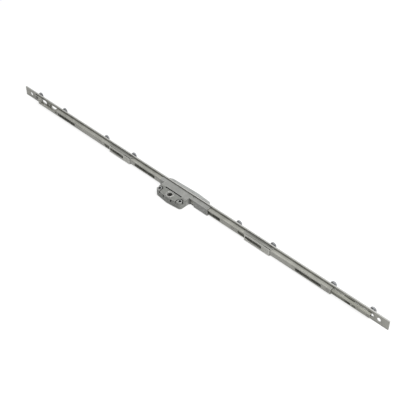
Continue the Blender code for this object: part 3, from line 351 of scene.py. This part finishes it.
# Painted highlight on the cams' backward faces, and painted shade on their riveted ends
turned = plated("turned_steel", Plating(
    (0.19, 0.195, 0.205), (0.29, 0.295, 0.305), 0.8, BRIGHT, CAST, 0.08,
    edge_highlight_and_wear=0.0, side=3.2, back=CAM_END_PAINTED_SHADE,
))
# Painted shade, deep, round the rivets, bushes and pin
riveted = plated("rivet_steel", Plating(
    (0.36, 0.37, 0.37), (0.50, 0.51, 0.51), 0.5, SATIN, CAST, 0.12,
    crevice_shade=0.05, shade_reach=0.006,
))
# Polished steel for the hub's collar, and the painted highlight of the rim on the case
polished_and_highlight = plated("polished_steel_and_highlight", Plating(
    (0.38, 0.38, 0.36), (0.51, 0.51, 0.485), 0.5, SATIN, CAST, 0.10,
    crevice_shade=0.10, shade_reach=0.004,
))


def dress(material, *nodes):
    """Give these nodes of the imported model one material."""
    for name in nodes:
        mesh = frame["nodes"][name].data
        mesh.materials.clear()
        mesh.materials.append(material)


bodies = frame["record"]["behaviour"]["bodies"]
every_node = [node for nodes in bodies.values() for node in nodes]
dress(strip, "faceplate")
dress(pressed, "outer_drive_bar")
dress(folded, "guide_saddle_left", "guide_saddle_right")
dress(tinted, "inner_drive_bar")
dress(cast, "gear_case_lower", "gear_case_upper")
dress(guard, "front_guard")
dress(geared, "follower", "drive_rack", "outer_reversing_rack", "inner_reversing_rack")
dress(geared, "reversing_pinion")
dress(turned, *[node for node in every_node if "_cam_" in node])
dress(riveted, *[node for node in every_node if "rivet" in node or "bush" in node], "pinion_pin")


# Pieces of the scene

def new_piece(name, points, faces, material):
    mesh = bpy.data.meshes.new(name)
    mesh.from_pydata(points, [], faces)
    mesh.materials.append(material)
    piece = bpy.data.objects.new(name, mesh)
    bpy.context.scene.collection.objects.link(piece)
    return piece


def ring(name, inner, outer, low, high):
    """A bright ring round the spindle's axis with chamfered upper edges, of polished steel for the collar
    and a painted highlight for the rim.
    """
    profile = [
        (outer, low),
        (outer, high - RING_CHAMFER),
        (outer - RING_CHAMFER, high),
        (inner + RING_CHAMFER, high),
        (inner, high - RING_CHAMFER),
        (inner, low),
    ]
    x, y = SPINDLE
    turns = [2 * math.pi * step / RING_STEPS for step in range(RING_STEPS)]
    points = [(x + r * math.cos(a), y + r * math.sin(a), z) for r, z in profile for a in turns]
    faces = []
    for loop in range(len(profile)):
        here = loop * RING_STEPS
        there = (loop + 1) % len(profile) * RING_STEPS
        for step in range(RING_STEPS):
            after = (step + 1) % RING_STEPS
            faces.append((here + step, here + after, there + after, there + step))
    piece = new_piece(name, points, faces, polished_and_highlight)
    piece.data.shade_smooth()
    piece.data.set_sharp_from_angle(angle=RING_SHARP_ANGLE)
    return piece


def hub_trim():
    """The follower's bright collar up to the case's top, and a thin bright rim on the case round it, a
    painted highlight.
    """
    case_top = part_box("gear_case_upper")[1][2]
    hub_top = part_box("follower")[1][2]
    collar = ring("hub_collar", COLLAR_INNER, COLLAR_OUTER, hub_top, case_top)
    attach(collar, "follower_body")
    # Painted highlight: a thin bright rim on the case's ring
    rim_highlight = ring("hub_rim_highlight", RIM_INNER, RIM_OUTER, case_top, case_top + RIM_HEIGHT)
    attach(rim_highlight, "root")


def floor():
    """A pale floor that looks white and takes the object's shadow, but lights it only softly."""
    material = bpy.data.materials.new("floor_white")
    graph = Graph(material)
    shader = material.node_tree.nodes["Principled BSDF"]
    graph.plug(shader, "Base Color", (FLOOR_SHADE,) * 3)
    graph.plug(shader, "Roughness", 1.0)
    graph.plug(shader, "Specular IOR Level", 0.0)
    graph.plug(shader, "Emission Color", WHITE)
    glow = graph.compute("MULTIPLY", graph.seen_directly(), FLOOR_GLOW)
    graph.plug(shader, "Emission Strength", glow)
    half = FLOOR_SIZE / 2
    corners = [(-half, -half, 0), (half, -half, 0), (half, half, 0), (-half, half, 0)]
    new_piece("floor", corners, [(0, 1, 2, 3)], material)


hub_trim()
floor()


# Light and camera

def area_light(name, place, size, energy):
    data = bpy.data.lights.new(name, "AREA")
    data.shape = "RECTANGLE"
    data.size, data.size_y = size
    data.energy = energy
    lamp = bpy.data.objects.new(name, data)
    lamp.location = place
    lamp.rotation_euler = (Vector(LIGHT_AIM) - Vector(place)).to_track_quat("-Z", "Y").to_euler()
    bpy.context.scene.collection.objects.link(lamp)


def white_world():
    """White for what the camera, gloss and glass see, and a softer white as light."""
    world = bpy.data.worlds.new("studio")
    bpy.context.scene.world = world
    graph = Graph(world)
    graph.tree.nodes.clear()
    lighting = graph.add("ShaderNodeBackground", {"Color": WHITE, "Strength": WORLD_STRENGTH})
    backdrop = graph.add("ShaderNodeBackground", {"Color": WHITE, "Strength": BACKDROP_STRENGTH})
    inputs = {0: graph.seen_directly(), 1: lighting.outputs[0], 2: backdrop.outputs[0]}
    chosen = graph.add("ShaderNodeMixShader", inputs)
    graph.add("ShaderNodeOutputWorld", {"Surface": chosen.outputs[0]})


def camera():
    data = bpy.data.cameras.new("camera")
    data.sensor_width = SENSOR_MM
    data.lens = LENS_MM
    view = bpy.data.objects.new("camera", data)
    level = math.cos(CAMERA_ELEVATION)
    away = Vector((
        math.sin(CAMERA_AZIMUTH) * level,
        -math.cos(CAMERA_AZIMUTH) * level,
        math.sin(CAMERA_ELEVATION),
    ))
    view.location = Vector(CAMERA_AIM) + away * CAMERA_DISTANCE
    turn = (-away).to_track_quat("-Z", "Y").to_matrix() @ Matrix.Rotation(CAMERA_ROLL, 3, "Z")
    view.rotation_euler = turn.to_euler()
    bpy.context.scene.collection.objects.link(view)
    bpy.context.scene.camera = view


white_world()
area_light("key", KEY_PLACE, KEY_SIZE, KEY_ENERGY)
area_light("fill", FILL_PLACE, FILL_SIZE, FILL_ENERGY)
camera()

bpy.context.scene.view_settings.view_transform = "Standard"
